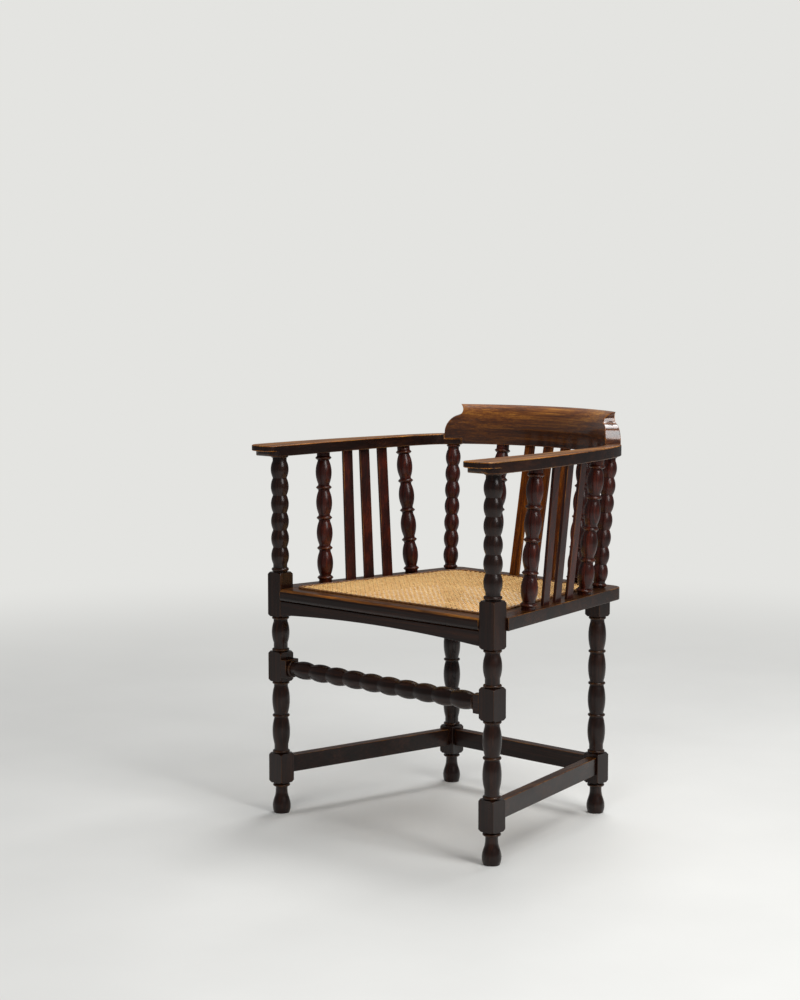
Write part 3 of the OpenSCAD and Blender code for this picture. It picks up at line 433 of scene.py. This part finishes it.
def slats():
    """Reddish slats at the sides and amber ones at the back, whose amber is painted light."""
    for seed, node in enumerate(sorted(n for n in NODES if "slat" in n), start=30):
        stain = "amber" if node.startswith("back") else "red"
        dressed(node, polished_wood(stain, "z", seed), width=0.7 * MM, wear=0.5)


def frame_pieces():
    """Flat stretchers, apron and seat boards, with the axis that their grain follows, dark by painted
    shade. The front board is rubbed the most, and the apron under it not at all. Their level tops
    are paler by wear and by painted light."""
    pieces = {
        "side_stretcher_left": "y", "side_stretcher_right": "y", "rear_stretcher": "x",
        "front_apron": "x", "seat_front_board": "x", "seat_side_board_left": "y",
        "seat_side_board_right": "y", "seat_rear_board": "x",
    }
    for seed, (node, along) in enumerate(pieces.items(), start=50):
        wear = {"front_apron": 0.0, "seat_front_board": 1.0}.get(node, 0.4)
        rubbed_and_lit_top = 0.3 if node == "seat_front_board" else 0.14
        dressed(node, polished_wood("dark", along, seed), width=1.0 * MM, wear=wear,
                rubbed_and_lit_top=rubbed_and_lit_top)


def arms_and_crest():
    """Arms dark by painted shade, with tops paler by the rubbing of hands and by painted light, and a
    glossy amber crest, its amber painted light, paler at its top by wear and painted light and
    darker at its foot by painted shade.
    """
    for seed, node in ((70, "arm_left"), (71, "arm_right")):
        dressed(node, polished_wood("dark", "y", seed, polish=0.1), width=1.6 * MM,
                wear=1.0, merge=0.7 * MM, rubbed_and_lit_top=0.8)
    dressed("crest", polished_wood("amber", "x", 72, polish=1.0), width=1.6 * MM,
            wear=1.0, merge=0.7 * MM, upper_wear_and_light=0.6)


# Cane seat

def panel_outline():
    """Corner points (y, x) of the right half of the cane panel's edge, from front to back, to a
    hundredth of a millimetre."""
    plan = list({(round(v.co.x, 5), round(v.co.y, 5)) for v in NODES["cane_panel"].data.vertices})
    hull = [plan[i] for i in convex_hull_2d(plan)]
    return sorted((y, x) for x, y in hull if x > 0)


def inside(outline, x, y):
    """Whether a place lies on the panel."""
    for (y0, x0), (y1, x1) in zip(outline, outline[1:]):
        if y0 <= y <= y1 and y1 > y0:
            return abs(x) <= x0 + (x1 - x0) * (y - y0) / (y1 - y0)
    return False


def ribbon_profile(name, width, thick):
    """Closed flat section with sloped sides."""
    curve = bpy.data.curves.new(name, "CURVE")
    curve.dimensions = "2D"
    spline = curve.splines.new("POLY")
    half, flat, up = width / 2, width / 2 * STRAND_FLAT, thick / 2
    outline = [(-half, 0), (-flat, up), (flat, up), (half, 0), (flat, -up), (-flat, -up)]
    spline.points.add(len(outline) - 1)
    for point, (x, y) in zip(spline.points, outline):
        point.co = (x, y, 0, 1)
    spline.use_cyclic_u = True
    section = bpy.data.objects.new(name, curve)
    scene.collection.objects.link(section)
    return section


def swept(name, paths, section, cyclic=False):
    """One mesh of flat strips that follow the paths with their broad side up."""
    curve = bpy.data.curves.new(name, "CURVE")
    curve.dimensions = "3D"
    curve.twist_mode = "Z_UP"
    curve.bevel_mode = "OBJECT"
    curve.bevel_object = section
    curve.use_fill_caps = not cyclic
    for path in paths:
        spline = curve.splines.new("POLY")
        spline.points.add(len(path) - 1)
        for point, place in zip(spline.points, path):
            point.co = (*place, 1)
        spline.use_cyclic_u = cyclic
    holder = bpy.data.objects.new(name + "_path", curve)
    scene.collection.objects.link(holder)
    graph = bpy.context.evaluated_depsgraph_get()
    mesh = bpy.data.meshes.new_from_object(holder.evaluated_get(graph))
    mesh.name = name
    bpy.data.objects.remove(holder)
    for polygon in mesh.polygons:
        polygon.use_smooth = True
    return mesh


def strand_end(outline, place, within, outside):
    """Where a strand passes under the binder, between a place on the panel and one outside."""
    for _ in range(END_STEPS):
        middle = (within + outside) / 2
        if inside(outline, *place(middle)[:2]):
            within = middle
        else:
            outside = middle
    return place(within)


def along_strand(outline, place, stations):
    """The part of a strand that lies on the panel, whose edge both its ends reach."""
    held = [i for i, t in enumerate(stations) if inside(outline, *place(t)[:2])]
    if len(held) < 2:
        return []
    path = [place(stations[i]) for i in held]
    first = strand_end(outline, place, stations[held[0]], stations[held[0] - 1])
    last = strand_end(outline, place, stations[held[-1]], stations[held[-1] + 1])
    if math.dist(first, path[0]) > SHORTEST_END:
        path.insert(0, first)
    if math.dist(last, path[-1]) > SHORTEST_END:
        path.append(last)
    return path


def straight_strand(offset, across, first_up, mid_z):
    """Place along a strand of the straight pairs, t holes from the middle. At each crossing it
    goes over one strand of the other pair and under its fellow."""
    def place(t):
        past = t - round(t)
        z = mid_z
        if abs(past) < NEAR_CROSSING:
            z += STRAND_T * (STRAIGHT_LIFT if (past > 0) != first_up else -STRAIGHT_LIFT)
        return (t * HOLE_PITCH, offset, z) if across else (offset, t * HOLE_PITCH, z)
    return place


def diagonal_strand(shift, way, mid_z):
    """Place along a diagonal, t holes from the middle; way is 1 where it runs backwards to the
    right and -1 where it runs forwards. The first passes over the pairs from front to back and
    under those from side to side, and the second does the reverse."""
    def place(t):
        lift = way * STRAND_T * DIAGONAL_LIFT * math.cos(2 * math.pi * t)
        return (t * HOLE_PITCH, way * (t * HOLE_PITCH - shift), mid_z + lift)
    return place


def cane_seat():
    """Six-way weave: pairs from front to back, pairs from side to side, and two diagonals."""
    outline = panel_outline()
    mid_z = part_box("cane_panel")[0].z + SHEET_T / 2
    holes = int(WEAVE_REACH / HOLE_PITCH) + 2
    # Points of a straight strand, as shares of a pitch: beside each crossing and between
    beside = PAIR_HALF / HOLE_PITCH
    marks = (-beside, beside, 0.28, 0.5, 0.72)
    steps = [hole + mark for hole in range(-holes, holes) for mark in marks]
    quarters = [k / 4 for k in range(-8 * holes, 8 * holes)]
    front_back, side_side = [], []
    for hole in range(-holes, holes + 1):
        for side, first_up in ((-1, True), (1, False)):
            offset = hole * HOLE_PITCH + side * PAIR_HALF
            front_back.append((straight_strand(offset, False, first_up, mid_z), steps))
            side_side.append((straight_strand(offset, True, not first_up, mid_z), steps))
    shifts = [(k + 0.5) * HOLE_PITCH for k in range(-2 * holes, 2 * holes)]
    families = {
        "cane_front_to_back": (front_back, "y"),
        "cane_side_to_side": (side_side, "x"),
        "cane_rising_diagonals": ([(diagonal_strand(s, 1, mid_z), quarters) for s in shifts], "any"),
        "cane_falling_diagonals": ([(diagonal_strand(s, -1, mid_z), quarters) for s in shifts], "any"),
    }
    section = ribbon_profile("cane_section", STRAND_W, STRAND_T)
    for number, (name, (strands, along)) in enumerate(families.items()):
        paths = [along_strand(outline, place, stations) for place, stations in strands]
        mesh = swept(name, [path for path in paths if len(path) > 2], section)
        material = rattan_cane("rattan_skin_" + name, CANE, along)
        finish_piece(mesh, name, ["cane_panel"] if number == 0 else [], material)
    bpy.data.objects.remove(section)


def binder_loop():
    """Middle line of the strip: the panel's own edge, a little outwards."""
    low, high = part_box("cane_binder")
    edge = panel_outline()
    ring = [Vector((x, y)) for y, x in edge] + [Vector((-x, y)) for y, x in reversed(edge)]
    centre = Vector((0, (low.y + high.y) / 2))
    loop = []
    for i, here in enumerate(ring):
        before, after = ring[i - 1], ring[(i + 1) % len(ring)]
        tangent = (here - before).normalized() + (after - here).normalized()
        inwards = Vector((-tangent.y, tangent.x)).normalized()
        if inwards.dot(centre - here) < 0:
            inwards.negate()
        loop.append(here - inwards * BINDER_OUT)
    return loop


def tie_paths(loop, foot):
    """Paths of the short ties that cross the strip at every hole of the frame."""
    sides = [(a, b, (b - a).length) for a, b in zip(loop, loop[1:] + loop[:1])]
    total = sum(length for a, b, length in sides)
    number = int(total / HOLE_PITCH)
    for k in range(number):
        distance = k * total / number
        i = 0
        while distance > sides[i][2]:
            distance -= sides[i][2]
            i += 1
        a, b, length = sides[i]
        at = a.lerp(b, distance / length)
        across = Vector((-(b - a).y, (b - a).x)).normalized() * BINDER_W / 2
        yield [(*(at + across * out), foot + up * BINDER_T) for out, up in TIE_PATH]


def binder():
    """The strip that covers the panel's edge, and its ties, both in the darker cane tones."""
    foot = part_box("cane_binder")[0].z
    loop = binder_loop()
    material = rattan_cane("rattan_binder_strip", DARKER_CANE, "any")
    section = ribbon_profile("binder_section", BINDER_W * BINDER_SHARE, BINDER_T)
    path = [(p.x, p.y, foot + BINDER_T / 2 + BINDER_UP) for p in loop]
    mesh = swept("cane_binder_strip", [path], section, cyclic=True)
    finish_piece(mesh, "cane_binder_strip", ["cane_binder"], material)
    bpy.data.objects.remove(section)
    section = ribbon_profile("tie_section", STRAND_W, STRAND_T)
    mesh = swept("cane_binder_ties", list(tie_paths(loop, foot)), section)
    finish_piece(mesh, "cane_binder_ties", [], material)
    bpy.data.objects.remove(section)


# Stage, lights and camera

def paper_floor():
    """Matt paper, which takes a soft shadow and shows no reflection. It fades into the
    background with the distance."""
    material, tree, shader = new_material("pale_paper_floor")
    place = add(tree, "ShaderNodeTexCoord", {}, out="Object")
    mottle = add(tree, "ShaderNodeTexNoise", {"Vector": place, "Scale": 1 / MOTTLE_W, "Detail": 6})
    colour = add(tree, "ShaderNodeValToRGB", {"Fac": mottle}, stops=zip((0.3, 0.7), PAPER))
    give(tree, shader, {"Base Color": colour, "Roughness": 0.85})
    distance = add(tree, "ShaderNodeVectorMath", {0: place}, out="Value", operation="LENGTH")
    far = add(tree, "ShaderNodeMapRange", {
        "Value": distance, "From Min": FADE_FROM, "From Max": FADE_TO,
    }, interpolation_type="SMOOTHSTEP")
    seen = add(tree, "ShaderNodeLightPath", {}, out="Is Camera Ray")
    fade = add(tree, "ShaderNodeMath", {0: far, 1: seen}, operation="MULTIPLY")
    background = add(tree, "ShaderNodeEmission", {"Color": linear(BACKGROUND)})
    both = add(tree, "ShaderNodeMixShader", {0: fade, 1: shader.outputs[0], 2: background})
    give(tree, tree.nodes["Material Output"], {"Surface": both})
    return material


def studio_floor():
    bm = bmesh.new()
    bmesh.ops.create_circle(bm, cap_ends=True, segments=96, radius=FLOOR_R)
    mesh = bpy.data.meshes.new("studio_floor")
    bm.to_mesh(mesh)
    bm.free()
    mesh.materials.append(paper_floor())
    floor = bpy.data.objects.new("studio_floor", mesh)
    scene.collection.objects.link(floor)


def soft_light(name, place, size, power):
    data = bpy.data.lights.new(name, "AREA")
    data.shape = "RECTANGLE"
    data.size, data.size_y = size
    data.energy = power
    light = bpy.data.objects.new(name, data)
    scene.collection.objects.link(light)
    light.location = place
    light.rotation_euler = (Vector(LIT_POINT) - Vector(place)).to_track_quat("-Z", "Y").to_euler()
    return light


def lights():
    """A key above the chair, a tall panel on its right for the gloss, and a fill that gives no
    highlights."""
    soft_light("key_from_above", **KEY)
    soft_light("panel_from_upper_right", **PANEL)
    fill = soft_light("fill_from_camera", **FILL)
    fill.visible_glossy = False


def pale_studio():
    """World that is the background to the eye and a weaker light to the chair."""
    world = bpy.data.worlds.new("pale_studio")
    world.use_nodes = True
    tree = world.node_tree
    ambient = tree.nodes["Background"]
    give(tree, ambient, {"Color": linear(AMBIENT_COLOUR), "Strength": AMBIENT_STRENGTH})
    backdrop = add(tree, "ShaderNodeBackground", {"Color": linear(BACKGROUND), "Strength": 1.0})
    seen = add(tree, "ShaderNodeLightPath", {}, out="Is Camera Ray")
    both = add(tree, "ShaderNodeMixShader", {0: seen, 1: ambient.outputs[0], 2: backdrop})
    give(tree, tree.nodes["World Output"], {"Surface": both})
    scene.world = world


def camera():
    data = bpy.data.cameras.new("camera")
    data.lens = CAMERA_LENS
    data.sensor_width = CAMERA_SENSOR
    shot = bpy.data.objects.new("camera", data)
    scene.collection.objects.link(shot)
    shot.location = CAMERA_PLACE
    shot.rotation_euler = (math.radians(90) - CAMERA_DOWN, 0, CAMERA_AZIMUTH)
    scene.camera = shot


camera()
studio_floor()
lights()
pale_studio()
turned_pieces()
slats()
frame_pieces()
arms_and_crest()
cane_seat()
binder()
